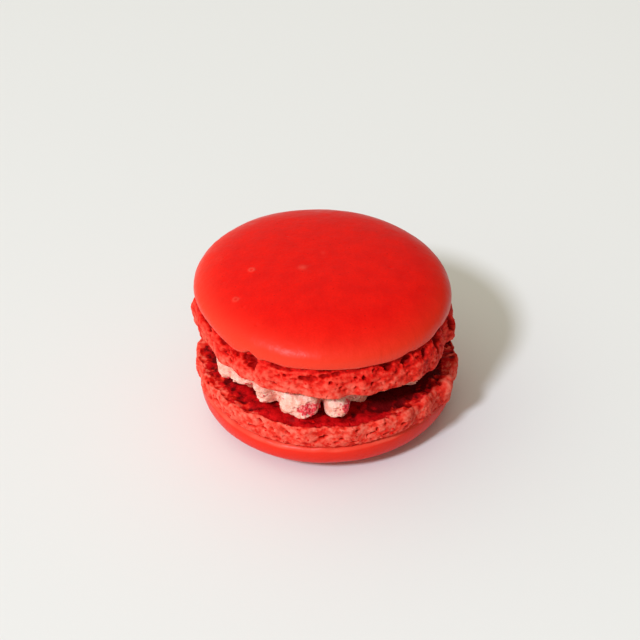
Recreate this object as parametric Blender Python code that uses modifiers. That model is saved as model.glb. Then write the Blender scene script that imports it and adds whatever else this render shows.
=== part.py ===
"""A french macaron, standing on its lower shell.

Two baked almond shells, each a smooth low dome over a ruffled, risen foot, are stuck together
foot to foot by a lumpy layer of cream. Metres, +Z up; the origin is on the surface that the
macaron stands on, under the middle of it.
"""

import math

import bpy
import numpy as np

# Both shells, each drawn with its dome up and its widest line at height 0.
CAP_POWER = 2.35  # 2 is an ellipse; more is flatter on top and rounder at the side
LIP_DROP = 0.0008  # the cap curls under its widest line by this much
LIP_CURL = ((0.2, 0.6), (0.7, 1.0), (1.0, 1.4))  # shares of the groove's depth and the lip's drop
GROOVE_DEPTH = 0.0011  # how far in the foot starts, under the lip
FOOT_FLARE = 0.0006  # how far the foot stands out past the cap at its free edge
EDGE_ROUND = 0.0007  # radius of the foot's free edge
FACE_RECESS = 0.0002  # the flat inner face lies this far inside the foot's edge
ROUND_STEPS = 96  # facets round a shell
DOME_RINGS = 9  # rings from the pole to the widest line
INNER_RING = 0.5  # where the flat faces have one ring of points, as a share of the radius
DIP_ABOVE = 0.45  # a dip in the lip starts this far up the dome, as a share of it
DIP_BELOW = (0.1, 0.9)  # and fades out between these shares of the foot's height
TUCK_FROM = 0.2  # a tuck starts this far down the foot, as a share of its height

# The upper shell.
UPPER_RADIUS = 0.0225  # of the smooth cap, at its widest line
UPPER_DOME = 0.0061  # from the widest line up to the top
UPPER_FOOT = 0.0064  # from the widest line down to the foot's edge
UPPER_SHIFT = -0.0005  # it sits this far off the lower shell's middle, along X
UPPER_LEAN = math.radians(1.4)  # its -X side is the higher
UPPER_SEED = 11
UPPER_SWELL = ((0.32, 0.15), (0.57, 0.3), (0.86, 0.56))  # shares of the foot's reach and height
UPPER_DIPS = ((-158, -0.0007, 17), (-133, 0.0004, 11))  # where the lip hangs lower: as a lump is
UPPER_TUCK = (-172, 0.0012, 48)  # where the foot's free edge is drawn in: as a lump is

# The lower shell, turned over, so its dome points down.
LOWER_RADIUS = 0.0227
LOWER_DOME = 0.0056
LOWER_FOOT = 0.0064
LOWER_SHIFT = 0.0004
LOWER_FLAT = 0.0060  # radius of the flat spot that the macaron stands on
LOWER_SEED = 7
LOWER_SWELL = ((0.65, 0.15), (0.95, 0.3), (1.0, 0.56))
LOWER_DIPS = ((150, 0.0011, 26), (52, 0.0010, 26), (100, 0.0004, 24), (-70, 0.0007, 40))

# Unevenness of a shell.
OUT_OF_ROUND = 0.010  # how oval it is, as a share of its radius
OVAL_TURN = math.radians(-45)  # where its long axis points
RUFFLE_COUNTS = (9, 14, 19, 25, 31)  # how many ruffles go round, one wave for each
RUFFLE_OUT = 0.0006  # how far the ruffles move the foot in and out
RUFFLE_DROP = 0.0004  # how far they move its edge up and down
RUFFLE_FULL = 0.6  # this far down the foot, as a share of its height, they are at full size
RUFFLE_REACH = 0.0022  # the ruffles fade out over this width, inwards from the edge

# The cream.
CREAM_GAP = 0.0003  # clearance to each shell
CREAM_HEIGHT = 0.0066  # between the inner faces of the two shells, at their middle
CREAM_RADIUS = 0.0186  # its mean reach, well inside the feet
CREAM_ROUND = 0.0014  # how far its top and bottom edges are drawn in
CREAM_LUMPS = (  # blobs that bulge out, or in: direction in degrees, bulge, width in degrees
    (-103, 0.0031, 9),
    (-84, 0.0030, 8),
    (-122, 0.0019, 6),
    (-143, 0.0022, 13),
    (-61, -0.0012, 10),
    (-39, 0.0034, 8),
    (-24, -0.0020, 26),
    (95, 0.0012, 16),
    (42, 0.0008, 12),
    (130, 0.0008, 10),
    (168, 0.0010, 11),
)
CREAM_COUNTS = (5, 8, 13, 21)
CREAM_UNEVEN = 0.0004
CREAM_STEPS = 72
CREAM_RINGS = 6
CREAM_SEED = 3

SHELL_RED = (0.78, 0.035, 0.022, 1.0)
CREAM_PINK = (0.88, 0.55, 0.45, 1.0)

MERGE = 0.00001


def material(name, colour, roughness):
    made = bpy.data.materials.new(name)
    made.use_nodes = True
    shader = made.node_tree.nodes["Principled BSDF"]
    shader.inputs["Base Color"].default_value = colour
    shader.inputs["Roughness"].default_value = roughness
    shader.inputs["Metallic"].default_value = 0.0
    made.diffuse_color = colour
    return made


def turned(name, profile, steps):
    """The mesh that a profile of (radius, height) points makes, turned once round Z."""
    outline = bpy.data.meshes.new(name)
    points = [(radius, 0.0, height) for radius, height in profile]
    outline.from_pydata(points, [(i, i + 1) for i in range(len(points) - 1)], [])
    guide = bpy.data.objects.new(name, outline)
    bpy.context.scene.collection.objects.link(guide)
    screw = guide.modifiers.new("turn", "SCREW")
    screw.steps = steps
    screw.render_steps = steps
    screw.use_merge_vertices = True
    screw.merge_threshold = MERGE
    graph = bpy.context.evaluated_depsgraph_get()
    mesh = bpy.data.meshes.new_from_object(guide.evaluated_get(graph))
    bpy.data.objects.remove(guide)
    bpy.data.meshes.remove(outline)
    return mesh


def waves(angle, counts, seed):
    """A ripple round the circle, within -1 to 1: one cosine for each count, at a random phase."""
    draw = np.random.default_rng(seed)
    phases = draw.uniform(0, 2 * math.pi, len(counts))
    sizes = draw.uniform(0.6, 1.0, len(counts))
    total = sum(s * np.cos(n * angle + p) for n, p, s in zip(counts, phases, sizes))
    return total / sizes.sum()


def ramp(value, low, high):
    """0 below low, 1 above high, and a smooth step between them."""
    share = np.clip((value - low) / (high - low), 0, 1)
    return share * share * (3 - 2 * share)


def arc(centre, radius, start, end, count):
    """Points (radius, height) on an arc, from one angle to the other, in degrees."""
    turns = np.radians(np.linspace(start, end, count))
    return [(centre[0] + radius * math.cos(t), centre[1] + radius * math.sin(t)) for t in turns]


def around(angle, bumps):
    """The sum of height * exp(-(away / width)^2) over bumps of (direction, height, width), where
    away is the angle to the direction, all in degrees."""
    total = np.zeros_like(angle)
    for direction, height, width in bumps:
        away = np.angle(np.exp(1j * (angle - math.radians(direction))))
        total += height * np.exp(-((away / math.radians(width)) ** 2))
    return total


def shell_profile(cap, dome, foot, flat, swell):
    """Half a shell's section, from its pole down its outer side to the middle of its inner face."""
    points = [(0.0, dome)]
    if flat:
        points.append((flat, dome))
    for turn in np.linspace(math.pi / 2, 0, DOME_RINGS + 1)[1:]:
        share = math.cos(turn) ** (2 / CAP_POWER)
        rise = math.sin(turn) ** (2 / CAP_POWER)
        points.append((flat + (cap - flat) * share, dome * rise))
    # The lip curls under, the foot starts in the groove and spreads down to its free edge.
    for inward, drop in LIP_CURL:
        points.append((cap - inward * GROOVE_DEPTH, -drop * LIP_DROP))
    reach = cap + FOOT_FLARE
    for outward, height in swell:
        radius = cap - GROOVE_DEPTH + outward * (GROOVE_DEPTH + FOOT_FLARE)
        points.append((radius, -LIP_DROP - height * (foot - LIP_DROP)))
    points += arc((reach - EDGE_ROUND, -foot + EDGE_ROUND), EDGE_ROUND, 0, -90, 4)
    points.append((cap - RUFFLE_REACH, -foot + FACE_RECESS))
    points.append((cap * INNER_RING, -foot + FACE_RECESS))
    points.append((0.0, -foot + FACE_RECESS))
    return points


def points_of(mesh):
    """A mesh's vertices as rows, with each one's angle and distance round Z."""
    rows = np.empty(len(mesh.vertices) * 3)
    mesh.vertices.foreach_get("co", rows)
    rows = rows.reshape(-1, 3)
    return rows, np.arctan2(rows[:, 1], rows[:, 0]), np.hypot(rows[:, 0], rows[:, 1])


def put_back(mesh, rows):
    mesh.vertices.foreach_set("co", rows.ravel())
    mesh.update()
    mesh.shade_smooth()


def add_part(name, mesh, finish):
    part = bpy.data.objects.new(name, mesh)
    mesh.name = name
    mesh.materials.append(finish)
    parts.objects.link(part)
    return part


def make_shell(name, cap, dome, foot, flat, seed, swell, dips, tucks):
    """A shell with its dome up: turned, then drawn oval, ruffled along its foot, tucked in at
    the foot's free edge, and its lip let down at the dips."""
    mesh = turned(name, shell_profile(cap, dome, foot, flat, swell), ROUND_STEPS)
    rows, angle, radius = points_of(mesh)
    outer = ramp(radius, cap - RUFFLE_REACH, cap - GROOVE_DEPTH)
    skirt = ramp(-rows[:, 2], LIP_DROP, RUFFLE_FULL * foot) * outer
    oval = OUT_OF_ROUND * np.cos(2 * (angle - OVAL_TURN))
    depth = -rows[:, 2] / foot
    tucked = ramp(depth, TUCK_FROM, 1) * ramp(radius, INNER_RING * cap, cap)
    let_down = ramp(rows[:, 2], DIP_ABOVE * dome, 0) * (1 - ramp(depth, *DIP_BELOW))
    let_down *= ramp(radius, INNER_RING * cap, cap - GROOVE_DEPTH)
    grow = oval * radius + skirt * RUFFLE_OUT * waves(angle, RUFFLE_COUNTS, seed)
    grow -= tucked * around(angle, tucks)
    grow *= ramp(radius, flat, cap)
    rows[:, 0] += grow * np.cos(angle)
    rows[:, 1] += grow * np.sin(angle)
    rows[:, 2] += skirt * RUFFLE_DROP * waves(angle, RUFFLE_COUNTS, seed + 1)
    rows[:, 2] -= let_down * around(angle, dips)
    put_back(mesh, rows)
    return add_part(name, mesh, shell_finish)


def lean(x):
    """How much higher the upper shell sits at x than in its middle."""
    return -(x - UPPER_SHIFT) * math.tan(UPPER_LEAN)


def make_filling():
    """The cream: a thick turned disc, pulled out into lumps, its top following the upper shell."""
    height = CREAM_HEIGHT - 2 * CREAM_GAP
    inner = INNER_RING * CREAM_RADIUS
    profile = [(0.0, height), (inner, height)]
    for share in np.linspace(0, 1, CREAM_RINGS):
        bulge = CREAM_ROUND * (1 - math.sin(math.pi * share) ** 0.5)
        profile.append((CREAM_RADIUS - bulge, height * (1 - share)))
    profile += [(inner, 0.0), (0.0, 0.0)]
    mesh = turned("filling", profile, CREAM_STEPS)
    rows, angle, radius = points_of(mesh)
    reach = CREAM_UNEVEN * waves(angle, CREAM_COUNTS, CREAM_SEED)
    reach += around(angle, CREAM_LUMPS)
    reach *= ramp(radius, inner, CREAM_RADIUS - CREAM_ROUND)
    rows[:, 0] += reach * np.cos(angle)
    rows[:, 1] += reach * np.sin(angle)
    rows[:, 2] += rows[:, 2] / height * lean(rows[:, 0])
    rows[:, 2] += LOWER_DOME + LOWER_FOOT - FACE_RECESS + CREAM_GAP
    put_back(mesh, rows)
    return add_part("filling", mesh, cream_finish)


for old in list(bpy.data.objects):
    bpy.data.objects.remove(old)
parts = bpy.data.collections.new("french_macaron")
bpy.context.scene.collection.children.link(parts)
shell_finish = material("baked_almond_shell", SHELL_RED, 0.5)
cream_finish = material("raspberry_cream", CREAM_PINK, 0.45)

# The lower shell stands on its dome, turned over about X.
lower = make_shell(
    "lower_shell",
    LOWER_RADIUS,
    LOWER_DOME,
    LOWER_FOOT,
    LOWER_FLAT,
    LOWER_SEED,
    LOWER_SWELL,
    LOWER_DIPS,
    (),
)
lower.location = (LOWER_SHIFT, 0, LOWER_DOME)
lower.rotation_euler = (math.pi, 0, 0)

filling = make_filling()

# The upper shell rests on the cream, shifted and leaning a little.
inner_face = LOWER_DOME + LOWER_FOOT - FACE_RECESS + CREAM_HEIGHT
upper = make_shell(
    "upper_shell",
    UPPER_RADIUS,
    UPPER_DOME,
    UPPER_FOOT,
    0.0,
    UPPER_SEED,
    UPPER_SWELL,
    UPPER_DIPS,
    (UPPER_TUCK,),
)
upper.location = (UPPER_SHIFT, 0, inner_face + UPPER_FOOT - FACE_RECESS)
upper.rotation_euler = (0, UPPER_LEAN, 0)
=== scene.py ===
"""The looks of a french macaron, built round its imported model.

Two baked almond shells, each a smooth cap on a risen, porous foot, are stuck together foot to
foot by cream with bits of raspberry in it. Metres, +Z up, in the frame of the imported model.
"""

import math
from types import SimpleNamespace

import bpy
import numpy as np
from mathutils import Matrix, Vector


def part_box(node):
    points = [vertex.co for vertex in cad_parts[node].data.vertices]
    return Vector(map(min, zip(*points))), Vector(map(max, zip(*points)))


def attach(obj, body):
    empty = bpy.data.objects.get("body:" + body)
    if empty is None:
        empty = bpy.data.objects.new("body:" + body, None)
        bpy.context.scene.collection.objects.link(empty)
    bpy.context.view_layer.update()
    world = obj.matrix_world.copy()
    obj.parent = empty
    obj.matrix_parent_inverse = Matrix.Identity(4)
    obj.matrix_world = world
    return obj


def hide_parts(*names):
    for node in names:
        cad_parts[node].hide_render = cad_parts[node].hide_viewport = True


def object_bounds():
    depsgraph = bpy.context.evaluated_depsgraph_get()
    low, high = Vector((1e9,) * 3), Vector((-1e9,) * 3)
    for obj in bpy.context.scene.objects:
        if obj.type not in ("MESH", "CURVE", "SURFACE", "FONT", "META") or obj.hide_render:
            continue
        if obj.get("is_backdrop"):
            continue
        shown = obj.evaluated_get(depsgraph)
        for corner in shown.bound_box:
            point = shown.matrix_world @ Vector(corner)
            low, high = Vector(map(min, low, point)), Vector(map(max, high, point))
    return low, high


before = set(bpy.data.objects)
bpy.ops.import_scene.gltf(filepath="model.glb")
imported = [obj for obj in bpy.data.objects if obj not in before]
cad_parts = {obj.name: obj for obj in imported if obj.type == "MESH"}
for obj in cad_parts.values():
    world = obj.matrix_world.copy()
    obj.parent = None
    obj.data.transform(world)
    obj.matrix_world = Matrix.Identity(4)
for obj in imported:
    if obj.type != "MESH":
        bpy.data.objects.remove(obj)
cad_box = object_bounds()


# --- The caps -----------------------------------------------------------------------------
# The smooth, satin top of each shell: a skin of almond batter that dried before it went into
# the oven, then rose as one lid. It is thin-edged where it curls over the foot, nearly flat in
# the middle, and here and there a bubble under it left a ring, a bump or a pit.

CAP_POWER = 2.35  # 2 is an ellipse; more is flatter on top and rounder at the side
LIP_DROP = 0.0010  # the cap curls under its widest line by this much
GROOVE_DEPTH = 0.0011  # how far in the foot starts, under the lip
OUT_OF_ROUND = 0.010  # how oval a shell is, as a share of its radius
OVAL_TURN = math.radians(-45)  # where its long axis points

lower_low, lower_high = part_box("lower_shell")
upper_low, upper_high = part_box("upper_shell")
# Dips are where a shell's lip hangs lower: direction and half width in degrees, and how far.
# Notches are as dips are, but only the very edge of the lip follows them.
# The tuck draws the foot's free edge in at one side: direction, half width, and how far. The
# hang lets it down in the same way.
lower = SimpleNamespace(
    name="lower", cap=0.0228, dome=0.0056, foot=0.0064, flat=0.0060, seed=7, turned=-1, lean=0.0,
    moist_and_shade=0.0, spread=5.0, tuck=(0, 40, 0.0), hang=(0, 40, 0.0), rim_sheen=0.5,
    dips=((-150, 26, 0.0011), (-52, 26, 0.0010), (-100, 24, 0.0004), (70, 40, 0.0007)),
    notches=((-92, 3, 0.0002), (-60, 4, -0.0002), (-37, 3, 0.0003), (40, 5, -0.0003)),
)
upper = SimpleNamespace(
    name="upper", cap=0.0226, dome=0.0061, foot=0.0064, flat=0.0, seed=11, turned=1,
    lean=math.radians(1.4), moist_and_shade=0.15, spread=2.4, tuck=(-172, 48, 0.0012), hang=(-36, 19, 0.0003),
    rim_sheen=1.0,
    dips=((-158, 17, -0.0007), (-133, 9, 0.0004), (120, 30, 0.0002)),
    notches=(
        (-124.0, 2.4, -0.0008), (-118.8, 1.6, 0.0003), (-131, 3, 0.0002), (-106, 4, 0.0002),
        (-50, 3, -0.0004), (-29, 4, -0.0005), (-15, 3, 0.0003), (60, 5, -0.0004), (140, 6, 0.0003),
    ),
)
lower.middle = np.array([(lower_low.x + lower_high.x) / 2, 0.0, lower_low.z + lower.dome])
upper.middle = np.array([lower.middle[0] - 0.00086, 0.0, upper_high.z - upper.dome])

CAP_COLUMNS = 560
CAP_ROWS = 132
LIP_ROWS = 14

# Marks that bubbles left in the upper cap: place on it, radius of the ring, width of its wall
# and height of the wall. A ring of radius 0 is a bump, and a height below 0 makes a pit.
UPPER_MARKS = (
    (-0.0124, -0.0023, 0.00042, 0.00022, 0.00010),
    (-0.0124, -0.0023, 0.0, 0.00025, -0.00010),
    (-0.0036, -0.0023, 0.0, 0.00065, 0.00009),
    (-0.0036, -0.0023, 0.0, 0.00022, -0.00005),
    (-0.0150, -0.0096, 0.00042, 0.00020, 0.00008),
    (-0.0146, -0.0093, 0.0, 0.00038, -0.00012),
    (-0.0181, 0.0024, 0.00050, 0.00025, 0.00002),
    (0.0000, 0.0023, 0.0, 0.00045, 0.00003),
    (-0.0137, -0.0115, 0.0, 0.00022, -0.00014),
    (-0.0112, -0.0160, 0.0, 0.00025, -0.00018),
    (-0.0173, -0.0044, 0.0, 0.00020, -0.00010),
    (-0.0063, 0.0079, 0.0, 0.00020, -0.00010),
    (0.0117, -0.0010, 0.0, 0.00030, -0.00008),
    (0.0062, -0.0128, 0.0, 0.00018, -0.00010),
    (0.0165, 0.0071, 0.0, 0.00018, -0.00010),
)
LOWER_MARKS = (
    (0.0105, 0.0152, 0.00050, 0.00022, 0.00009),
    (-0.0085, -0.0171, 0.0, 0.00025, -0.00015),
    (0.0140, -0.0120, 0.0, 0.00022, -0.00012),
    (-0.0130, 0.0100, 0.0, 0.00060, 0.00008),
)


def ramp(value, low, high):
    """0 below low, 1 above high, and t * t * (3 - 2 t) between them."""
    share = np.clip((value - low) / (high - low), 0, 1)
    return share * share * (3 - 2 * share)


def scattered(cells, seed):
    """A random number from 0 to 1 for each cell of whole numbers (x, y, z): each number is
    multiplied by a large odd one, the products are mixed bit by bit, and twice the high bits
    are folded onto the low ones and multiplied again."""
    x, y, z = (cells[..., i].astype(np.uint32) for i in range(3))
    mixed = x * np.uint32(0x9E3779B1) ^ y * np.uint32(0x85EBCA77) ^ z * np.uint32(0xC2B2AE3D)
    mixed = mixed ^ np.uint32(seed * 0x27D4EB2F & 0xFFFFFFFF)
    for shift, factor in ((15, 0x2C1B3C6D), (13, 0x297A2D39)):
        mixed = (mixed ^ mixed >> np.uint32(shift)) * np.uint32(factor)
    return (mixed ^ mixed >> np.uint32(16)) / float(0xFFFFFFFF)


def noise(points, size, seed):
    """Smooth random heights, about -1 to 1, with humps about one size across: each corner of a
    lattice holds a random slope, and the planes on those slopes are blended along X, Y and Z
    by t^3 (6 t^2 - 15 t + 10)."""
    place = points / size
    cell = np.floor(place).astype(np.int64)
    part = place - cell
    blend = part**3 * (part * (part * 6 - 15) + 10)
    total = np.zeros(points.shape[:-1])
    for corner in np.ndindex(2, 2, 2):
        share = np.prod(np.where(corner, blend, 1 - blend), axis=-1)
        near = cell + corner
        away = part - corner
        slope = sum((2 * scattered(near, seed + 9 * i) - 1) * away[..., i] for i in range(3))
        total += share * slope
    return total * 1.6


def layered(points, size, seed, layers, keep=0.5):
    """Noise plus finer noise: each layer is half as large as the last and keep times as high."""
    return sum(noise(points, size / 2**i, seed + 31 * i) * keep**i for i in range(layers))


def evenly(section, count):
    """The same outline as count points, the same distance apart along its length."""
    steps = np.hypot(*np.diff(section, axis=0).T)
    length = np.concatenate([[0], np.cumsum(steps)])
    even = np.linspace(0, length[-1], count)
    return np.stack([np.interp(even, length, section[:, i]) for i in range(2)], axis=-1)


def turned(section, columns):
    """A section of (radius, height) carried once round Z: (r cos a, r sin a, h) on a grid of
    rows by columns. Returns the points and the angle of each column."""
    angle = np.linspace(0, 2 * np.pi, columns, endpoint=False)
    radius, height = section[:, :1], section[:, 1:]
    points = [radius * np.cos(angle), radius * np.sin(angle), height + 0 * angle]
    return np.stack(points, axis=-1), angle


def outward(section):
    """The unit normal (radial, upright) at each point of a section: its direction of travel
    turned a quarter, which is outwards for a section that runs down its outer side."""
    along = np.gradient(section, axis=0)
    along /= np.linalg.norm(along, axis=1, keepdims=True)
    return np.stack([-along[:, 1], along[:, 0]], axis=-1)


def pushed(points, section, angle, push):
    """The grid moved along the section's own normals by push, in metres."""
    normal = outward(section)[:, None, :]
    radial = normal[..., 0] * push
    moved = points.copy()
    moved[..., 0] += radial * np.cos(angle)
    moved[..., 1] += radial * np.sin(angle)
    moved[..., 2] += normal[..., 1] * push
    return moved


def oval(points, angle):
    """Draws a shell slightly oval: radius times 1 + e cos 2(a - turn)."""
    grow = 1 + OUT_OF_ROUND * np.cos(2 * (angle - OVAL_TURN))
    return points * np.stack([grow, grow, np.ones_like(grow)], axis=-1)


def set_in_place(points, shell):
    """Points drawn with the dome up, moved to where they are in the macaron: the lower shell is
    turned half way round X, the upper one leans about Y, and both move to their own middle."""
    x, y, z = points[..., 0], points[..., 1] * shell.turned, points[..., 2] * shell.turned
    cos, sin = math.cos(shell.lean), math.sin(shell.lean)
    return np.stack([cos * x + sin * z, y, cos * z - sin * x], axis=-1) + shell.middle


def skin(name, grid, values):
    """A closed mesh over grid[row, column]: its columns join up round the piece, and the first
    and last row are each drawn together to one point. Values are numbers kept at its points."""
    rows, columns, _ = grid.shape
    points = np.vstack([grid.reshape(-1, 3), grid[0].mean(axis=0), grid[-1].mean(axis=0)])
    index = np.arange(rows * columns).reshape(rows, columns)
    beside = np.roll(index, -1, axis=1)
    quads = np.stack([index[:-1], index[1:], beside[1:], beside[:-1]], axis=-1)
    first = np.stack([np.full(columns, rows * columns), index[0], beside[0]], axis=-1)
    last = np.stack([np.full(columns, rows * columns + 1), beside[-1], index[-1]], axis=-1)
    corners = np.concatenate([quads.ravel(), first.ravel(), last.ravel()])
    sizes = np.repeat([4, 3], [quads.size // 4, 2 * columns])
    mesh = bpy.data.meshes.new(name)
    mesh.vertices.add(len(points))
    mesh.vertices.foreach_set("co", points.ravel())
    mesh.loops.add(len(corners))
    mesh.loops.foreach_set("vertex_index", corners)
    mesh.polygons.add(len(sizes))
    mesh.polygons.foreach_set("loop_start", np.cumsum(sizes) - sizes)
    mesh.update(calc_edges=True)
    for key, value in values.items():
        ends = [value[0].mean(), value[-1].mean()]
        kept = mesh.attributes.new(key, "FLOAT", "POINT")
        kept.data.foreach_set("value", np.concatenate([value.ravel(), ends]))
    mesh.shade_smooth()
    return mesh


def put(mesh, node, finish):
    """Adds a mesh as a piece that stands for a node, takes its finish and rides on the body."""
    mesh.materials.append(finish)
    piece = bpy.data.objects.new(mesh.name, mesh)
    bpy.context.scene.collection.objects.link(piece)
    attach(piece, "root")
    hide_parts(node)
    return piece


def linear(colour):
    """An sRGB hex colour as linear RGBA: c / 12.92 up to 0.04045, else ((c + 0.055) / 1.055)^2.4."""
    parts = [int(colour[i : i + 2], 16) / 255 for i in (1, 3, 5)]
    return [c / 12.92 if c <= 0.04045 else ((c + 0.055) / 1.055) ** 2.4 for c in parts] + [1.0]


def new_material(name):
    """An empty material with its tree and its shader, which is linked to the output."""
    made = bpy.data.materials.new(name)
    made.use_nodes = True
    return made, made.node_tree, made.node_tree.nodes["Principled BSDF"]


def add(tree, kind, sockets=None, out=0, **settings):
    """Adds a node and returns one of its outputs. A socket's entry is a value or, to link it,
    another node's output; settings are the node's own."""
    node = tree.nodes.new(kind)
    for key, value in settings.items():
        setattr(node, key, value)
    inputs = {socket.identifier: socket for socket in node.inputs}
    for key, value in (sockets or {}).items():
        if isinstance(value, bpy.types.NodeSocket):
            tree.links.new(value, inputs[key])
        else:
            inputs[key].default_value = value
    return node.outputs[out]


# Baked meringue and almond crust, coloured through with red. Dried before baking, so it is
# closed and satin. The ground almonds under it give it a faint grain, and where it slumped
# over the edge it is drawn into fine radial streaks, which break up its highlight.
CRUST_GRAIN = 0.00035  # a grain of ground almond
CRUST_BLOTCH = 0.0030
STREAK_WIDTH = 0.00040
STREAK_LENGTH = 0.0018
crust, tree, shader = new_material("baked_almond_crust")
where = add(tree, "ShaderNodeTexCoord", out="Object")
blotch = add(
    tree, "ShaderNodeTexNoise", {"Vector": where, "Scale": 1 / CRUST_BLOTCH, "Detail": 4.0}
)
grain = add(
    tree, "ShaderNodeTexNoise", {"Vector": where, "Scale": 1 / CRUST_GRAIN, "Detail": 2.0}
)
speck = add(
    tree, "ShaderNodeTexVoronoi", {"Vector": where, "Scale": 1 / 0.0016, "Randomness": 1.0}
)
level_place = add(
    tree,
    "ShaderNodeVectorMath",
    {"Vector": where, "Vector_001": (1.0, 1.0, 0.0)},
    operation="MULTIPLY",
)
off_axis = add(
    tree, "ShaderNodeVectorMath", {"Vector": level_place}, out="Value", operation="LENGTH"
)
heading = add(tree, "ShaderNodeVectorMath", {"Vector": level_place}, operation="NORMALIZE")
round_place = add(
    tree,
    "ShaderNodeVectorMath",
    {"Vector": heading, "Scale": upper.cap / STREAK_WIDTH},
    operation="SCALE",
)
along = add(
    tree,
    "ShaderNodeMath",
    {"Value": off_axis, "Value_001": 1 / STREAK_LENGTH},
    operation="MULTIPLY",
)
streak_step = add(tree, "ShaderNodeCombineXYZ", {"Z": along})
streak_place = add(
    tree, "ShaderNodeVectorMath", {"Vector": round_place, "Vector_001": streak_step}, operation="ADD"
)
streak = add(tree, "ShaderNodeTexNoise", {"Vector": streak_place, "Scale": 1.0, "Detail": 2.0})
lip = add(tree, "ShaderNodeAttribute", out="Fac", attribute_name="lip")
pale = add(tree, "ShaderNodeAttribute", out="Fac", attribute_name="pale")
rim = add(tree, "ShaderNodeAttribute", out="Fac", attribute_name="rim")
blotch_share = add(
    tree, "ShaderNodeMapRange", {"Value": blotch, "From Min": 0.35, "From Max": 0.65}
)
body_red = add(
    tree,
    "ShaderNodeMix",
    {"Factor_Float": blotch_share, "A_Color": linear("#DC0602"), "B_Color": linear("#E80D03")},
    out=2,
    data_type="RGBA",
)
grain_share = add(
    tree,
    "ShaderNodeMapRange",
    {"Value": grain, "From Min": 0.3, "From Max": 0.7, "To Min": 0.0, "To Max": 0.35},
)
grained = add(
    tree,
    "ShaderNodeMix",
    {"Factor_Float": grain_share, "A_Color": body_red, "B_Color": linear("#C60A04")},
    out=2,
    data_type="RGBA",
)
speck_share = add(
    tree,
    "ShaderNodeMapRange",
    {"Value": speck, "From Min": 0.10, "From Max": 0.04, "To Min": 0.0, "To Max": 0.5},
)
specked = add(
    tree,
    "ShaderNodeMix",
    {"Factor_Float": speck_share, "A_Color": grained, "B_Color": linear("#9C0806")},
    out=2,
    data_type="RGBA",
)
marked = add(
    tree,
    "ShaderNodeMix",
    {"Factor_Float": pale, "A_Color": specked, "B_Color": linear("#EA5A48")},
    out=2,
    data_type="RGBA",
)
# Towards the rim the crust is painted paler and more orange: painted sheen on the cap's sides.
rim_sheened = add(
    tree,
    "ShaderNodeMix",
    {"Factor_Float": rim, "A_Color": marked, "B_Color": linear("#E6371F")},
    out=2,
    data_type="RGBA",
)
edged = add(
    tree,
    "ShaderNodeMix",
    {"Factor_Float": lip, "A_Color": rim_sheened, "B_Color": linear("#EA523E")},
    out=2,
    data_type="RGBA",
)
tree.links.new(edged, shader.inputs["Base Color"])
satin = add(
    tree,
    "ShaderNodeMapRange",
    {"Value": blotch, "From Min": 0.3, "From Max": 0.7, "To Min": 0.31, "To Max": 0.45},
)
tree.links.new(satin, shader.inputs["Roughness"])
shine = add(tree, "ShaderNodeMapRange", {"Value": rim, "To Min": 0.10, "To Max": 0.18})
tree.links.new(shine, shader.inputs["Specular IOR Level"])
streak_share = add(
    tree, "ShaderNodeMath", {"Value": rim, "Value_001": blotch_share}, operation="MULTIPLY"
)
streaked = add(
    tree, "ShaderNodeMath", {"Value": streak, "Value_001": streak_share}, operation="MULTIPLY"
)
combed = add(
    tree, "ShaderNodeBump", {"Height": streaked, "Strength": 0.7, "Distance": 0.00013}
)
relief = add(
    tree,
    "ShaderNodeBump",
    {"Height": grain, "Strength": 0.6, "Distance": 0.00004, "Normal": combed},
)
tree.links.new(relief, shader.inputs["Normal"])


def around(angle, bumps):
    """The sum of height * exp(-(away / width)^2) over bumps of (direction, width, height), where
    away is the angle to the direction, all in degrees."""
    total = np.zeros_like(angle)
    for direction, width, height in bumps:
        away = np.degrees(np.angle(np.exp(1j * (angle - math.radians(direction)))))
        total += height * np.exp(-((away / width) ** 2))
    return total


def cap_section(shell):
    """Half a cap's section. From the pole, |r / cap|^p + |h / dome|^p = 1 down to the widest
    line, a quarter ellipse for the lip that curls under it, then straight in to the axis."""
    turn = np.linspace(np.pi / 2, 0, 2000)
    across = np.cos(turn) ** (2 / CAP_POWER)
    dome = np.stack(
        [shell.flat + (shell.cap - shell.flat) * across, shell.dome * np.sin(turn) ** (2 / CAP_POWER)],
        axis=-1,
    )
    if shell.flat:
        dome = np.vstack([[0.0, shell.dome], dome])
    dome = evenly(dome, CAP_ROWS)[1:]
    turn = np.linspace(0, np.pi / 2, LIP_ROWS)[1:]
    lip = np.stack(
        [shell.cap - GROOVE_DEPTH * (1 - np.cos(turn)), -LIP_DROP * np.sin(turn)], axis=-1
    )
    inside = np.array([[0.9, -0.9], [0.6, -0.6], [0.2, -0.5]]) * [shell.cap, LIP_DROP]
    return np.vstack([dome, lip, inside])


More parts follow.
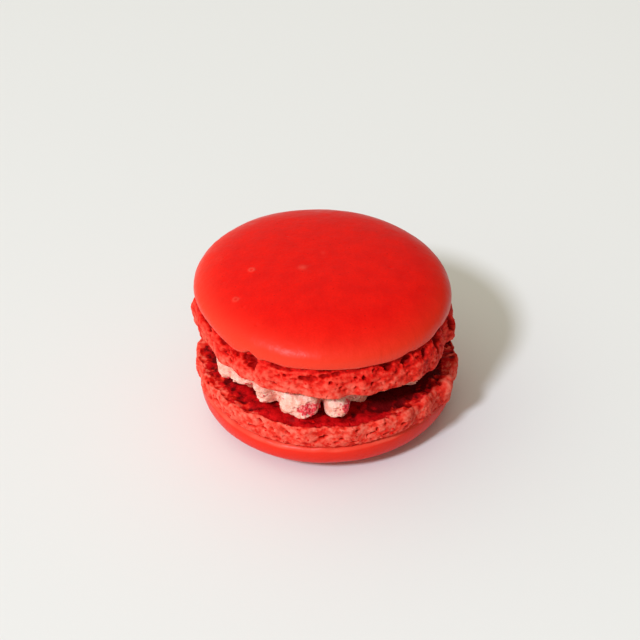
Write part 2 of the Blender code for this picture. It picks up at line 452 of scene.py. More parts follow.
def make_cap(shell, marks):
    """A cap: its section turned, made slightly wavy, and marked by its bubbles."""
    section = cap_section(shell)
    points, angle = turned(section, CAP_COLUMNS)
    radius, height = section[:, :1], section[:, 1:]
    shown = ramp(height, -1.3 * LIP_DROP, -0.9 * LIP_DROP) * np.ones_like(angle)
    shown[-3:] = 0
    lifted = ramp(radius, 0.2 * shell.cap, 0.9 * shell.cap)
    seed = shell.seed
    push = 0.00010 * noise(points, 0.0110, seed) * lifted
    push += 0.000030 * noise(points, 0.0032, seed + 1)
    push += 0.000022 * layered(points, 0.0013, seed + 2, 3, 0.6)
    pale = np.zeros_like(points[..., 0])
    for x, y, ring, wall, rise in marks:
        away = np.hypot(points[..., 0] - x, points[..., 1] - y)
        mark = rise * np.exp(-(((away - ring) / wall) ** 2)) * (points[..., 2] > 0)
        push += mark
        pale += np.clip(mark / 0.0001, 0, 1) * 0.42
    moved = oval(pushed(points, section, angle, push * shown), angle)
    # The lip hangs lower in places, and its edge wanders a little besides.
    dip = around(shell.turned * angle, shell.dips)
    moved[..., 2] -= ramp(-height, -0.45 * shell.dome, 0) * dip
    notch = around(shell.turned * angle, shell.notches)
    moved[..., 2] -= ramp(-height, -0.0012, 0.5 * LIP_DROP) * notch
    below = ramp(-height, 0.2 * LIP_DROP, LIP_DROP)
    moved[..., 2] += below * 0.00018 * noise(points * [1, 1, 0], 0.0035, seed + 4)
    edge = ramp(-height, 0.1 * LIP_DROP, 0.5 * LIP_DROP) * np.ones_like(angle)
    edge *= 0.5 + 0.5 * ramp(noise(points, 0.004, seed + 5), -0.3, 0.3)
    # The rim share, lower on the lower shell, carries that painted sheen and the stronger shine.
    rim = shell.rim_sheen * (1 - ramp(height, 0, 0.8 * shell.dome)) + 0 * angle
    values = {"pale": pale, "lip": edge, "rim": rim}
    mesh = skin(f"{shell.name}_cap", set_in_place(moved, shell), values)
    return put(mesh, f"{shell.name}_shell", crust)


make_cap(lower, LOWER_MARKS)
make_cap(upper, UPPER_MARKS)


# --- The feet -----------------------------------------------------------------------------
# The risen skirt under each cap: the wet batter that boiled up and out below the dry skin, and
# set as a sponge. It spreads past the cap, it is ruffled, and it is full of burst bubbles, the
# largest just under the lip. Its flat inner face is the side that lay on the baking sheet.

FOOT_FLARE = 0.0006  # how far the foot stands out past the cap at its free edge
EDGE_ROUND = 0.0007  # radius of the foot's free edge
FACE_RECESS = 0.0002  # the flat inner face lies this far inside the foot's edge
FOOT_COLUMNS = 980
SIDE_ROWS = 54
FACE_ROWS = 34
FACE_SHOWN = 0.0075  # width of the part of the inner face that can be seen past the cream

RUFFLE_COUNTS = (9, 14, 19, 25, 31)
RUFFLE_OUT = 0.0006  # how far the ruffles move the foot in and out
RUFFLE_DROP = 0.0004  # how far they move its edge up and down
RUFFLE_FULL = 0.6  # this far down the foot, as a share of its height, they are at full size
RUFFLE_REACH = 0.0022  # the ruffles fade out over this width, inwards from the edge
CRUMB_SET_BACK = 0.00016  # the crumb's mean level lies this far inside the section

# Burst bubbles of one size each: lattice spacing, largest radius, share of the cells with one.
BUBBLES = (0.0015, 0.00050, 0.50)
PINHOLES = (0.00070, 0.00022, 0.60)

# Caves that the eye finds first: direction in degrees, depth below the lip as a share of the
# rest of the foot, half width round the foot, half height and depth.
UPPER_CAVES = (
    (-121.9, 0.12, 0.0007, 0.0007, 0.0014),
    (-124.2, 0.12, 0.0009, 0.0006, 0.0014),
    (-126.6, 0.10, 0.0008, 0.0005, 0.0010),
    (-122.6, 0.28, 0.0008, 0.0008, 0.0012),
    (-121.8, 0.36, 0.0005, 0.0006, 0.0009),
    (-130.5, 0.16, 0.0007, 0.0005, 0.0008),
    (-98.0, 0.32, 0.0009, 0.0006, 0.0008),
    (-94.0, 0.27, 0.0009, 0.0006, 0.0007),
    (-89.0, 0.18, 0.0010, 0.0005, 0.0007),
    (-84.0, 0.12, 0.0008, 0.0004, 0.0006),
    (-108.5, 0.10, 0.0022, 0.0003, 0.0006),
    (-103.0, 0.39, 0.0004, 0.0003, 0.0007),
    (-109.0, 0.34, 0.0003, 0.0003, 0.0006),
    (-82.0, 0.54, 0.0004, 0.0003, 0.0006),
    (-79.8, 0.69, 0.0003, 0.0003, 0.0005),
    (-75.4, 0.67, 0.0003, 0.0003, 0.0005),
    (-71.9, 0.32, 0.0004, 0.0004, 0.0008),
    (-68.2, 0.51, 0.0003, 0.0003, 0.0006),
    (-60.2, 0.15, 0.0008, 0.0006, 0.0014),
    (-51.0, 0.15, 0.0011, 0.0008, 0.0015),
    (-41.0, 0.20, 0.0007, 0.0008, 0.0012),
    (-30.6, 0.14, 0.0011, 0.0011, 0.0016),
    (-31.8, 0.40, 0.0005, 0.0009, 0.0014),
    (-22.0, 0.22, 0.0006, 0.0008, 0.0016),
    (-14.2, 0.33, 0.0008, 0.0012, 0.0018),
    (-138.9, 0.32, 0.0004, 0.0004, 0.0007),
    (-141.0, 0.12, 0.0005, 0.0005, 0.0010),
    (-144.0, 0.34, 0.0003, 0.0003, 0.0007),
    (-151.7, 0.18, 0.0006, 0.0004, 0.0010),
    (-159.6, 0.22, 0.0004, 0.0004, 0.0008),
)
LOWER_CAVES = (
    (-112, 0.32, 0.0006, 0.0003, 0.0006),
    (-124, 0.50, 0.0007, 0.0003, 0.0006),
    (-102, 0.56, 0.0004, 0.0003, 0.0005),
    (-146, 0.62, 0.0005, 0.0004, 0.0006),
    (-78, 0.30, 0.0006, 0.0003, 0.0006),
    (-34, 0.16, 0.0012, 0.0005, 0.0010),
    (-22, 0.10, 0.0010, 0.0006, 0.0010),
    (-137, 0.45, 0.0004, 0.0004, 0.0007),
    (-134, 0.72, 0.0003, 0.0003, 0.0006),
    (-118, 0.58, 0.0004, 0.0003, 0.0006),
    (-107, 0.70, 0.0004, 0.0004, 0.0006),
    (-95, 0.42, 0.0003, 0.0003, 0.0006),
    (-91, 0.66, 0.0005, 0.0003, 0.0006),
    (-84, 0.52, 0.0004, 0.0003, 0.0006),
    (-70, 0.60, 0.0005, 0.0004, 0.0007),
    (-64, 0.34, 0.0006, 0.0003, 0.0007),
    (-56, 0.62, 0.0004, 0.0003, 0.0006),
)
# Rounded lobes that batter ran into before it set, and gaps between them: direction, half
# width, height.
UPPER_LOBES = (
    (-20, 3, -0.00025), (-12, 3, 0.00030), (-3, 3, -0.00040), (6, 3, 0.00030), (-174, 4, 0.00045),
    (-38, 16, 0.00030), (19, 9, 0.00055),
    (60, 5, 0.00025), (112, 4, -0.00035), (150, 5, 0.00025),
)
LOWER_LOBES = (
    (-44, 22, 0.00022), (-26, 4, 0.00060), (-16, 4, -0.00040), (-11, 4, 0.00010), (5, 8, -0.00070),
    (80, 5, 0.00030), (128, 4, -0.00035), (-165, 3, -0.00020), (-158, 4, 0.00020),
)


def waves(angle, counts, seed):
    """A ripple round the circle, within -1 to 1: one cosine for each count, at a random phase."""
    draw = np.random.default_rng(seed)
    phases = draw.uniform(0, 2 * math.pi, len(counts))
    sizes = draw.uniform(0.6, 1.0, len(counts))
    total = sum(s * np.cos(n * angle + p) for n, p, s in zip(counts, phases, sizes))
    return total / sizes.sum()


def bubbles(points, kind, seed):
    """How deep burst bubbles cut in at each point, in metres. Each cell of a lattice may hold
    one round bubble at a random place; inside it the depth is sqrt(radius^2 - away^2)."""
    spacing, widest, share = kind
    bent = points + 0.25 * spacing * np.stack(
        [noise(points, 0.8 * spacing, seed + 70 + i) for i in range(3)], axis=-1
    )
    place = bent / spacing
    cell = np.floor(place).astype(np.int64)
    deepest = np.zeros(points.shape[:-1])
    for step in np.ndindex(3, 3, 3):
        near = cell + step - 1
        centre = near + np.stack([scattered(near, seed + i) for i in range(3)], axis=-1)
        radius = widest * (0.35 + 0.65 * scattered(near, seed + 4))
        radius = np.where(scattered(near, seed + 5) < share, radius, 0)
        away = np.linalg.norm(place - centre, axis=-1) * spacing
        deepest = np.maximum(deepest, np.sqrt(np.maximum(radius**2 - away**2, 0)))
    return deepest


def cobbles(points, size, seed):
    """Rounded lumps with creases between them: 1 where a random centre is, falling with the
    square of the distance to the nearest one, to about -1 in the creases."""
    place = points / size
    cell = np.floor(place).astype(np.int64)
    nearest = np.full(points.shape[:-1], 4.0)
    for step in np.ndindex(3, 3, 3):
        near = cell + step - 1
        centre = near + np.stack([scattered(near, seed + i) for i in range(3)], axis=-1)
        nearest = np.minimum(nearest, ((place - centre) ** 2).sum(axis=-1))
    return 1 - 2.2 * nearest


# The foot's crumb: the same batter, open-pored and dry, so it is paler and more matt than the
# crust where it stands out; red and moist where it tore under the lip, and crimson on its inner
# face. The deep red down in its bubbles and hollows is painted shade.
CRUMB_GRAIN = 0.00024
CRUMB_PATCH = 0.0013
crumb, tree, shader = new_material("open_almond_crumb")
where = add(tree, "ShaderNodeTexCoord", out="Object")
relief_and_shade = add(tree, "ShaderNodeAttribute", out="Fac", attribute_name="relief_and_shade")
moist_and_shade = add(tree, "ShaderNodeAttribute", out="Fac", attribute_name="moist_and_shade")
inner = add(tree, "ShaderNodeAttribute", out="Fac", attribute_name="inner")
patch = add(
    tree, "ShaderNodeTexNoise", {"Vector": where, "Scale": 1 / CRUMB_PATCH, "Detail": 4.0}
)
grain = add(
    tree, "ShaderNodeTexNoise", {"Vector": where, "Scale": 1 / CRUMB_GRAIN, "Detail": 2.0}
)
patched = add(
    tree, "ShaderNodeMath", {"Value": patch, "Value_001": 1.5, "Value_002": -0.75},
    operation="MULTIPLY_ADD",
)
relief_shade_level = add(tree, "ShaderNodeMath", {"Value": relief_and_shade, "Value_001": patched}, operation="ADD")
low_share = add(tree, "ShaderNodeMapRange", {"Value": relief_shade_level, "From Min": 0.0, "From Max": 0.5})
high_share = add(tree, "ShaderNodeMapRange", {"Value": relief_shade_level, "From Min": 0.5, "From Max": 1.1})
# Each set runs from deep, the painted shade in hollows and holes, through body to crest, where the crumb
# stands out.
colours = []
for deep, body, crest in (
    ("#A00603", "#E02E1E", "#EF6E5A"),
    ("#960302", "#D40E08", "#EA402E"),
    ("#5E0104", "#B6050B", "#D61215"),
):
    lower_mix = add(
        tree,
        "ShaderNodeMix",
        {"Factor_Float": low_share, "A_Color": linear(deep), "B_Color": linear(body)},
        out=2,
        data_type="RGBA",
    )
    upper_mix = add(
        tree,
        "ShaderNodeMix",
        {"Factor_Float": high_share, "A_Color": lower_mix, "B_Color": linear(crest)},
        out=2,
        data_type="RGBA",
    )
    colours.append(upper_mix)
outside = add(
    tree,
    "ShaderNodeMix",
    {"Factor_Float": moist_and_shade, "A_Color": colours[0], "B_Color": colours[1]},
    out=2,
    data_type="RGBA",
)
faced = add(
    tree,
    "ShaderNodeMix",
    {"Factor_Float": inner, "A_Color": outside, "B_Color": colours[2]},
    out=2,
    data_type="RGBA",
)
tree.links.new(faced, shader.inputs["Base Color"])
shader.inputs["Roughness"].default_value = 0.66
shader.inputs["Specular IOR Level"].default_value = 0.08
relief = add(tree, "ShaderNodeBump", {"Height": grain, "Strength": 0.8, "Distance": 0.00006})
tree.links.new(relief, shader.inputs["Normal"])


def foot_section(shell):
    """Half a foot's section. It starts hidden inside the cap, comes out in the groove, spreads
    as 1 - (1 - share)^spread, rounds its free edge and runs back to the axis as a flat face."""
    share = np.linspace(0, 1, 400)
    reach = shell.cap + FOOT_FLARE
    spread = GROOVE_DEPTH + FOOT_FLARE
    side = np.stack(
        [
            reach - spread * (1 - share) ** shell.spread,
            -0.4 * LIP_DROP - share * (shell.foot - 0.4 * LIP_DROP - EDGE_ROUND),
        ],
        axis=-1,
    )
    turn = np.linspace(0, np.pi / 2, 60)[1:]
    edge = np.stack(
        [reach - EDGE_ROUND * (1 - np.cos(turn)), EDGE_ROUND * (1 - np.sin(turn)) - shell.foot],
        axis=-1,
    )
    side = evenly(np.vstack([side, edge]), SIDE_ROWS)
    across = np.linspace(reach - EDGE_ROUND, reach - FACE_SHOWN, FACE_ROWS)[1:]
    recess = FACE_RECESS * ramp(reach - across, EDGE_ROUND, 2 * EDGE_ROUND)
    face = np.stack([across, recess - shell.foot], axis=-1)
    hidden = np.linspace(reach - FACE_SHOWN, 0, 7)[1:-1]
    centre = np.stack([hidden, np.full(5, FACE_RECESS - shell.foot)], axis=-1)
    top = np.array([[0.3 * shell.cap, 0.0], [0.7 * shell.cap, 0.0]])
    top += [0, -0.4 * LIP_DROP]
    return np.vstack([top, side, face, centre])


def sunken(push, reach):
    """How far each point lies below its neighbours: the mean of push over reach rows and
    columns either way, less push itself."""
    mean = push
    for axis in (0, 1):
        steps = range(-reach, reach + 1)
        mean = sum(np.roll(mean, step, axis) for step in steps) / len(steps)
    return mean - push


def make_foot(shell, torn_share, caves, lobes):
    """A foot: its section turned and ruffled as in the model, then heaped into crumb, torn in
    clefts below the lip, pricked by bubbles of two sizes, and hollowed into its larger caves."""
    section = foot_section(shell)
    points, angle = turned(section, FOOT_COLUMNS)
    direction_round = shell.turned * angle
    radius, height = section[:, :1], section[:, 1:]
    seed = shell.seed
    depth = -height / shell.foot
    below_lip = (-height - LIP_DROP) / (shell.foot - LIP_DROP)
    inward = shell.cap + FOOT_FLARE - radius
    on_face = ramp(inward, 0.6 * EDGE_ROUND, 1.2 * EDGE_ROUND) * (depth > 0.9)
    far_in = on_face * ramp(inward - EDGE_ROUND, 0.0006, 0.0024)
    shown = ramp(radius, shell.cap - FACE_SHOWN, shell.cap - 0.85 * FACE_SHOWN) * (
        ramp(depth, 0.02, 0.10)
    )
    # The large ruffles are the model's own. The tuck draws the free edge in at one side.
    outer = ramp(radius, shell.cap - RUFFLE_REACH, shell.cap - GROOVE_DEPTH)
    skirt = ramp(-height, LIP_DROP, RUFFLE_FULL * shell.foot) * outer
    out = skirt * RUFFLE_OUT * waves(angle, RUFFLE_COUNTS, seed)
    tuck = ramp(depth, 0.2, 1.0) * ramp(radius, 0.5 * shell.cap, shell.cap)
    out -= tuck * around(direction_round, [shell.tuck])
    points[..., 0] += out * np.cos(angle)
    points[..., 1] += out * np.sin(angle)
    points[..., 2] += skirt * RUFFLE_DROP * waves(angle, RUFFLE_COUNTS, seed + 1)
    points[..., 2] -= ramp(depth, 0.3, 1.0) * outer * around(direction_round, [shell.hang])
    points[..., 2] -= (1 - ramp(depth, 0.1, 0.9)) * around(direction_round, shell.dips)
    # Soft lumps and grit all over, less of them on the inner face, which lay on the sheet.
    push = 0.00008 * cobbles(points, 0.0015, seed + 10)
    push += 0.00009 * layered(points, 0.0009, seed + 20, 3, 0.75)
    push *= 1 - 0.7 * far_in
    from_front = np.degrees(np.angle(np.exp(1j * (direction_round + math.radians(98)))))
    aside = 1 - np.exp(-((from_front / 36) ** 4))
    push += 0.00034 * on_face * layered(points, 0.0032, seed + 25, 2)
    heaped = on_face * aside * (1 - 0.8 * ramp(inward, 0.0025, 0.0065))
    push += 0.00032 * heaped * layered(points, 0.0026, seed + 27, 2)
    # Shelves and clefts where the batter tore away below the lip, wider than they are high.
    torn = 1 - ramp(below_lip + 0.20 * layered(points, 0.0034, seed + 95, 2), 0.25, 0.75)
    torn *= torn_share * (1 - on_face)
    push += 0.00012 * torn * noise(points * [0.4, 0.4, 1], 0.0006, seed + 33)
    cleft = ramp(-layered(points * [1, 1, 1.8], 0.0030, seed + 40, 2), 0.10, 0.90)
    holes = 0.0009 * torn * cleft
    # Upright ridges at the right, and the lobes.
    ridged = ramp(np.cos(direction_round - math.radians(-22)), 0.55, 0.9) * (1 - on_face)
    push += 0.00018 * ridged * cobbles(points * [1, 1, 0.5], 0.0025, seed + 30)
    heaps = 1 + 0.6 * cobbles(points * [1, 1, 0.7], 0.0030, seed + 35)
    push += around(direction_round, lobes) * heaps
    push -= CRUMB_SET_BACK
    hollow = sunken(push, 5)
    pricked = (1 - 0.7 * far_in) * (1 - 0.5 * ridged)
    holes = np.maximum(holes, 1.9 * bubbles(points, BUBBLES, seed + 50) * pricked)
    holes = np.maximum(holes, 2.3 * bubbles(points, PINHOLES, seed + 60) * pricked)
    edge_noise = layered(points, 0.0014, seed + 80, 2)
    for direction, share, wide, high, deep in caves:
        away = np.angle(np.exp(1j * (direction_round - math.radians(direction)))) * shell.cap
        fall = (below_lip - share) * (shell.foot - LIP_DROP)
        form = (away / wide) ** 2 + (fall / high) ** 2 + 0.8 * edge_noise
        holes = np.maximum(holes, deep * ramp(1.4 - form, 0, 1.0))
    push -= holes
    moved = oval(pushed(points, section, angle, push * shown), angle)
    # Salmon where it stands out, red where it tore, crimson beyond the rim of its inner face.
    # Darker down in its hollows and holes: painted shade.
    # Darker in the groove under the lip: painted shade.
    groove_shade = (1 - ramp(below_lip, 0.0, 0.16)) * (1 - on_face)
    relief_and_shade = 0.74 - hollow / 0.00034 - 0.9 * ramp(holes, 0.00012, 0.0009) - 0.5 * groove_shade
    # Darker on the ridges at the right, the side turned from the lamp, and further in on the inner face,
    # between the shells: painted shade.
    relief_and_shade -= 0.22 * torn_share * ridged + 0.32 * far_in
    # The deeper holes also take the darker moist colours: painted shade.
    moist_and_shade = np.maximum(shell.moist_and_shade + (0.9 - shell.moist_and_shade) * torn, ramp(holes, 0.0003, 0.0010))
    moist_and_shade = np.maximum(moist_and_shade, 0.75 * ramp(noise(points, 0.0024, seed + 97), 0.25, 0.60))
    soaked = ramp(layered(points, 0.0017, seed + 98, 2), 0.0, 0.35) * on_face * aside
    moist_and_shade = np.maximum(moist_and_shade, soaked)
    relief_and_shade -= 0.45 * soaked
    # At the right the inner face is darkened nearly to its rim: painted shade in the gap under the upper
    # shell.
    gap_shade = on_face * ramp(np.cos(direction_round - math.radians(-38)), 0.84, 0.95)
    relief_and_shade -= 0.7 * gap_shade * ramp(inward + 0.0006 * layered(points, 0.0017, seed + 98, 2), 0.0014, 0.0030)
    ragged = (0.0008 + 0.0024 * aside) * layered(points, 0.0021, seed + 90, 4, 0.65)
    # The crimson face reaches nearer the edge at the right: more of the same painted shade.
    rim_width = -0.0002 + 0.0014 * aside - 0.0006 * gap_shade + ragged
    inner = on_face * ramp(inward - EDGE_ROUND - rim_width, -0.00025, 0.00025)
    values = {"relief_and_shade": np.clip(relief_and_shade, -0.5, 1.5), "moist_and_shade": moist_and_shade, "inner": inner}
    mesh = skin(f"{shell.name}_foot", set_in_place(moved, shell), values)
    put(mesh, f"{shell.name}_shell", crumb)
    return set_in_place(moved, shell)


lower_foot = make_foot(lower, 0.35, LOWER_CAVES, LOWER_LOBES)
upper_foot = make_foot(upper, 1.0, UPPER_CAVES, UPPER_LOBES)


# --- The cream ----------------------------------------------------------------------------
# Raspberry buttercream, spread roughly and pressed out between the shells. It clings to the
# upper one, hangs out below it in lumps at the front and left, and stops short at the right.

CREAM_TOP = 0.0198  # its reach along the upper shell
CREAM_FOOT = 0.0182  # its reach along the lower one
CREAM_LIMIT = 0.0218  # no lump reaches much past this
CREAM_SLACK = 0.0004  # how gently they are held to it
CREAM_COLUMNS = 900
CREAM_ROWS = 62
CREAM_GAP = 0.0003  # clearance to each shell

# Lumps: direction and half width in degrees, middle and half height as shares of the layer's
# height, and how far they stand out.
CREAM_LUMPS = (
    (-106.5, 7.5, 0.28, 0.50, 0.0034),
    (-98.0, 6.0, 0.42, 0.46, 0.0026),
    (-84.2, 7.0, 0.28, 0.50, 0.0033),
    (-92.2, 1.5, 0.45, 0.75, -0.0026),
    (-122.3, 4.8, 0.50, 0.50, 0.0025),
    (-138, 7.5, 0.66, 0.36, 0.0022),
    (-149, 6.0, 0.58, 0.45, 0.0024),
    (-112, 12, 0.86, 0.22, 0.0016),
    (-74, 5, 0.50, 0.60, -0.0009),
    (-61, 9, 0.70, 0.80, -0.0026),
    (-39, 5, 0.48, 0.46, 0.0036),
    (95, 16, 0.50, 0.50, 0.0012),
    (42, 12, 0.50, 0.45, 0.0010),
    (130, 9, 0.60, 0.40, 0.0012),
    (168, 10, 0.55, 0.40, 0.0014),
)
# Where broken fruit stained it: direction, height, half width and half height.
CREAM_STAINS = (
    (-97.6, 0.0148, 0.0018, 0.0012),
    (-80.3, 0.0150, 0.0007, 0.0014),
    (-131.5, 0.0152, 0.0006, 0.0006),
    (-143.0, 0.0148, 0.0007, 0.0004),
    (85.0, 0.0150, 0.0016, 0.0010),
)
CREAM_HOLLOW = (-24, 26, -0.0026)  # a stretch that lies further in: direction, width, reach

cream, tree, shader = new_material("raspberry_buttercream")
where = add(tree, "ShaderNodeTexCoord", out="Object")
cloud = add(tree, "ShaderNodeTexNoise", {"Vector": where, "Scale": 1 / 0.0018, "Detail": 4.0})
dots = add(tree, "ShaderNodeTexVoronoi", {"Vector": where, "Scale": 1 / 0.0012})
cloud_share = add(
    tree, "ShaderNodeMapRange", {"Value": cloud, "From Min": 0.35, "From Max": 0.68}
)
pinks = add(
    tree,
    "ShaderNodeMix",
    {"Factor_Float": cloud_share, "A_Color": linear("#EA947E"), "B_Color": linear("#F8CBB8")},
    out=2,
    data_type="RGBA",
)
dot_share = add(
    tree,
    "ShaderNodeMapRange",
    {"Value": dots, "From Min": 0.24, "From Max": 0.12, "To Min": 0.0, "To Max": 0.75},
)
dotted = add(
    tree,
    "ShaderNodeMix",
    {"Factor_Float": dot_share, "A_Color": pinks, "B_Color": linear("#D2405A")},
    out=2,
    data_type="RGBA",
)
stain = add(tree, "ShaderNodeAttribute", out="Fac", attribute_name="stain")
pulp = add(tree, "ShaderNodeTexNoise", {"Vector": where, "Scale": 1 / 0.00045, "Detail": 2.0})
pulp_share = add(
    tree, "ShaderNodeMapRange", {"Value": pulp, "From Min": 0.36, "From Max": 0.52}
)
pulp_colour = add(
    tree,
    "ShaderNodeMix",
    {"Factor_Float": pulp_share, "A_Color": linear("#F2A294"), "B_Color": linear("#D82434")},
    out=2,
    data_type="RGBA",
)
stained = add(
    tree,
    "ShaderNodeMix",
    {"Factor_Float": stain, "A_Color": dotted, "B_Color": pulp_colour},
    out=2,
    data_type="RGBA",
)
tree.links.new(stained, shader.inputs["Base Color"])
shader.inputs["Roughness"].default_value = 0.5
shader.inputs["Specular IOR Level"].default_value = 0.35
shader.inputs["Subsurface Weight"].default_value = 0.25
shader.inputs["Subsurface Radius"].default_value = (1.0, 0.4, 0.3)
shader.inputs["Subsurface Scale"].default_value = 0.0008
relief = add(tree, "ShaderNodeBump", {"Height": cloud, "Strength": 0.6, "Distance": 0.0002})
tree.links.new(relief, shader.inputs["Normal"])


def make_cream():
    """The cream: rows run from the middle of its top, over the edge, down its side and back
    to the middle. Its reach at a height is the mean reach there plus flat-topped lumps
    exp(-(u^2 + v^2)^2), u round the layer and v up it, roughened by noise and held to a limit
    by a soft minimum -k ln(exp(-reach / k) + exp(-limit / k))."""
    low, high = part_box("filling")
    bottom = lower.dome + lower.foot - FACE_RECESS + CREAM_GAP
    top = upper.middle[2] - upper.foot + FACE_RECESS - CREAM_GAP
    top_rows = np.stack([np.linspace(0.1, 0.96, 14), np.ones(14)], axis=-1)
    turn = np.linspace(0, 1, CREAM_ROWS)
    side = np.stack([np.ones(CREAM_ROWS), 1 - turn], axis=-1)
    rounding = 0.06 * (np.abs(2 * turn - 1) ** 6)
    side[:, 0] -= rounding
    under_rows = np.stack([np.linspace(0.92, 0.1, 8), np.zeros(8)], axis=-1)
    section = np.vstack([top_rows, side, under_rows])
    angle = np.linspace(0, 2 * np.pi, CREAM_COLUMNS, endpoint=False)
    across, level = section[:, :1], section[:, 1:]
    ball = np.stack(
        [CREAM_TOP * np.cos(angle) + 0 * level, CREAM_TOP * np.sin(angle) + 0 * level,
         level * (top - bottom) + 0 * angle],
        axis=-1,
    )
    wobble = 0.18 * noise(ball, 0.0022, 301)
    reach = CREAM_FOOT + (CREAM_TOP - CREAM_FOOT) * level + 0 * angle
    for direction, width, middle, tall, out in CREAM_LUMPS:
        turned_by = np.degrees(np.angle(np.exp(1j * (angle - math.radians(direction)))))
        u = turned_by / width + wobble
        v = (level - middle) / tall + wobble
        reach = reach + out * np.exp(-((u * u + v * v) ** 2))
    direction, width, out = CREAM_HOLLOW
    turned_by = np.degrees(np.angle(np.exp(1j * (angle - math.radians(direction)))))
    reach = reach + out * np.exp(-((turned_by / width) ** 2))
    reach = -CREAM_SLACK * np.logaddexp(-reach / CREAM_SLACK, -CREAM_LIMIT / CREAM_SLACK)
    rough = 0.00052 * layered(ball, 0.0024, 311, 4, 0.65) + 0.00014 * cobbles(ball, 0.0010, 321)
    rough += 0.00012 * layered(ball, 0.0007, 351, 2)
    reach = (reach + rough * ramp(across, 0.6, 0.95)) * across
    tilt = -(reach * np.cos(angle) - upper.middle[0]) * math.tan(upper.lean)
    z = bottom + level * (top - bottom + tilt)
    grid = np.stack([reach * np.cos(angle), reach * np.sin(angle), z + 0 * angle], axis=-1)
    stain = np.zeros_like(reach)
    for direction, height, wide, high in CREAM_STAINS:
        away = np.angle(np.exp(1j * (angle - math.radians(direction)))) * CREAM_TOP
        form = (away / wide) ** 2 + ((z - height) / high) ** 2
        stain = np.maximum(stain, ramp(1.2 - form + 0.8 * layered(ball, 0.0012, 331, 3), 0, 0.6))
    put(skin("cream", grid, {"stain": stain}), "filling", cream)
    return grid


cream_grid = make_cream()


# --- Bits of raspberry --------------------------------------------------------------------
# Broken pieces of dried raspberry, stirred into the cream. They show where its lumps were
# torn, in two clusters at the front and singly elsewhere, and are mostly sunk in.

BIT_COLUMNS = 10
BIT_ROWS = 6
SUNK = 0.5  # how far a bit's middle lies inside the cream, as a share of the bit's radius

fruit, tree, shader = new_material("dried_raspberry")
where = add(tree, "ShaderNodeTexCoord", out="Object")
flesh = add(tree, "ShaderNodeTexNoise", {"Vector": where, "Scale": 1 / 0.0006, "Detail": 2.0})
flesh_share = add(
    tree, "ShaderNodeMapRange", {"Value": flesh, "From Min": 0.35, "From Max": 0.65}
)
crimson = add(
    tree,
    "ShaderNodeMix",
    {"Factor_Float": flesh_share, "A_Color": linear("#C41026"), "B_Color": linear("#F03C46")},
    out=2,
    data_type="RGBA",
)
tree.links.new(crimson, shader.inputs["Base Color"])
shader.inputs["Roughness"].default_value = 0.4


def crumbs_mesh(name, centres, sizes, seed):
    """Small uneven lumps joined in one mesh: each is a ball (cos a sin b, sin a sin b, cos b)
    with a size of its own along each axis, dented by noise, at its own centre."""
    a = np.linspace(0, 2 * np.pi, BIT_COLUMNS, endpoint=False)
    b = np.linspace(0, np.pi, BIT_ROWS + 2)[1:-1, None]
    ball = np.stack([np.cos(a) * np.sin(b), np.sin(a) * np.sin(b), np.cos(b) + 0 * a], axis=-1)
    ball = np.vstack([ball.reshape(-1, 3), [[0, 0, 1], [0, 0, -1]]])
    draw = np.random.default_rng(seed)
    shape = draw.uniform(0.4, 1.4, (len(centres), 1, 3)) * np.asarray(sizes)[:, None, None]
    dent = 1 + 0.5 * noise(ball + draw.uniform(0, 50, (len(centres), 1, 3)), 0.9, seed)
    points = centres[:, None, :] + ball * shape * dent[..., None]
    count = BIT_COLUMNS * BIT_ROWS
    index = np.arange(count).reshape(BIT_ROWS, BIT_COLUMNS)
    beside = np.roll(index, -1, axis=1)
    quads = np.stack([index[:-1], index[1:], beside[1:], beside[:-1]], axis=-1).reshape(-1, 4)
    first = np.stack([np.full(BIT_COLUMNS, count), index[0], beside[0]], axis=-1)
    last = np.stack([np.full(BIT_COLUMNS, count + 1), beside[-1], index[-1]], axis=-1)
    start = np.arange(len(centres))[:, None, None] * (count + 2)
    faces = [*(quads + start).reshape(-1, 4).tolist()]
    faces += (first + start).reshape(-1, 3).tolist() + (last + start).reshape(-1, 3).tolist()
    mesh = bpy.data.meshes.new(name)
    mesh.from_pydata(points.reshape(-1, 3), [], faces)
    mesh.shade_smooth()
    return mesh


def near_side(grid, direction, level, spread, count, draw):
    """Random points of a grid near one direction, in degrees, and height, within the spread."""
    x, y, z = grid[..., 0], grid[..., 1], grid[..., 2]
    away = np.angle(np.exp(1j * (np.arctan2(y, x) - math.radians(direction)))) * np.hypot(x, y)
    score = np.exp(-((away / spread[0]) ** 2) - ((z - level) / spread[1]) ** 2)
    score = (score * (np.hypot(x, y) > 0.0160)).ravel()
    return grid.reshape(-1, 3)[draw.choice(score.size, count, p=score / score.sum())]


draw = np.random.default_rng(5)
spots = np.vstack(
    [
        near_side(cream_grid, -97.3, 0.0145, (0.0015, 0.0008), 60, draw),
        near_side(cream_grid, -80.5, 0.0150, (0.0007, 0.0009), 22, draw),
        near_side(cream_grid, -116, 0.0150, (0.0030, 0.0015), 10, draw),
        near_side(cream_grid, -145, 0.0148, (0.0030, 0.0010), 10, draw),
        near_side(cream_grid, -60, 0.0145, (0.0040, 0.0015), 6, draw),
        near_side(cream_grid, 90, 0.0150, (0.0300, 0.0025), 40, draw),
    ]
)
sizes = draw.uniform(0.00010, 0.00032, len(spots))
spots[:, :2] *= 1 - SUNK * sizes[:, None] / np.hypot(*spots[:, :2].T)[:, None]
put(crumbs_mesh("raspberry_bits", spots, sizes, 6), "filling", fruit)


# --- Crumbs -------------------------------------------------------------------------------
# Grains that broke off the feet when the shells were lifted and pressed together. They lie in
# the grooves and on the rims.

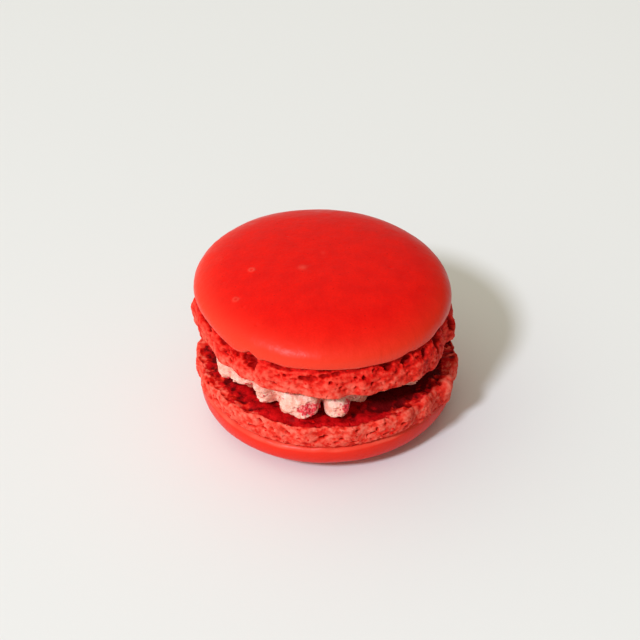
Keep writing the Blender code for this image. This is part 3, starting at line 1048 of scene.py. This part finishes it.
draw = np.random.default_rng(8)
spots = np.vstack(
    [
        near_side(lower_foot, -90, 0.0085, (0.0250, 0.0025), 50, draw),
        near_side(lower_foot, 90, 0.0085, (0.0250, 0.0025), 30, draw),
        near_side(upper_foot, -60, 0.0225, (0.0200, 0.0012), 40, draw),
        near_side(upper_foot, 100, 0.0215, (0.0300, 0.0020), 30, draw),
    ]
)
sizes = draw.uniform(0.00008, 0.00020, len(spots))
put(crumbs_mesh("loose_crumbs", spots, sizes, 9), "lower_shell", crust)


# --- Floor, light and camera --------------------------------------------------------------
# A plain pale floor, one soft lamp to the front left, and warm light from all round.

floor_finish, tree, shader = new_material("pale_floor")
shader.inputs["Base Color"].default_value = linear("#E3E1DF")
shader.inputs["Roughness"].default_value = 0.5
shader.inputs["Specular IOR Level"].default_value = 0.2
mesh = bpy.data.meshes.new("floor")
side = 3.0
mesh.from_pydata([(-side, -side, 0), (side, -side, 0), (side, side, 0), (-side, side, 0)], [], [(0, 1, 2, 3)])
mesh.materials.append(floor_finish)
floor = bpy.data.objects.new("floor", mesh)
bpy.context.scene.collection.objects.link(floor)
floor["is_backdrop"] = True

LAMP_FROM = (math.radians(237.5), math.radians(42.0))  # its direction round Z from +X, and up
LAMP_AWAY = 2.40
LAMP_WIDTH = 0.33
LAMP_WATTS = 50.5
low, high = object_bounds()
centre = np.array((low + high) / 2)
turn, rise = LAMP_FROM
towards = np.array(
    [math.cos(turn) * math.cos(rise), math.sin(turn) * math.cos(rise), math.sin(rise)]
)
lamp_data = bpy.data.lights.new("lamp", "AREA")
lamp_data.shape = "DISK"
lamp_data.size = LAMP_WIDTH
lamp_data.energy = LAMP_WATTS
lamp_data.color = (0.80, 0.855, 0.985)
lamp = bpy.data.objects.new("lamp", lamp_data)
lamp.location = centre + LAMP_AWAY * towards
lamp.rotation_euler = (math.pi / 2 - rise, 0, turn + math.pi / 2)
bpy.context.scene.collection.objects.link(lamp)

# The room is brighter on the lamp's side, as between pale walls with a window there.
ROOM_BRIGHT = (-0.84, -0.03, 0.54)
world = bpy.data.worlds.new("room")
world.use_nodes = True
tree = world.node_tree
heading = add(tree, "ShaderNodeTexCoord", out="Generated")
facing = add(
    tree,
    "ShaderNodeVectorMath",
    {"Vector": heading, "Vector_001": ROOM_BRIGHT},
    out="Value",
    operation="DOT_PRODUCT",
)
room_light = add(
    tree,
    "ShaderNodeMapRange",
    {"Value": facing, "From Min": -0.55, "From Max": 1.0, "To Min": 0.05, "To Max": 1.8},
)
background = tree.nodes["Background"]
background.inputs["Color"].default_value = (0.590, 0.580, 0.488, 1.0)
tree.links.new(room_light, background.inputs["Strength"])
bpy.context.scene.world = world

CAMERA_PITCH = math.radians(36.7)  # it looks down this steeply, along +Y
CAMERA_AWAY = 0.3534
CAMERA_LENS = 112.0
AIM = (-0.00129, 0.00010, 0.00242)  # what it aims at, from the middle of the model
camera_data = bpy.data.cameras.new("camera")
camera_data.sensor_width = 36
camera_data.lens = CAMERA_LENS
camera_data.clip_start = 0.01
camera = bpy.data.objects.new("camera", camera_data)
back = np.array([0, -math.cos(CAMERA_PITCH), math.sin(CAMERA_PITCH)])
cad_middle = np.array((cad_box[0] + cad_box[1]) / 2)
camera.location = cad_middle + AIM + CAMERA_AWAY * back
camera.rotation_euler = (math.pi / 2 - CAMERA_PITCH, 0, 0)
bpy.context.scene.collection.objects.link(camera)
bpy.context.scene.camera = camera
bpy.context.scene.view_settings.view_transform = "Standard"
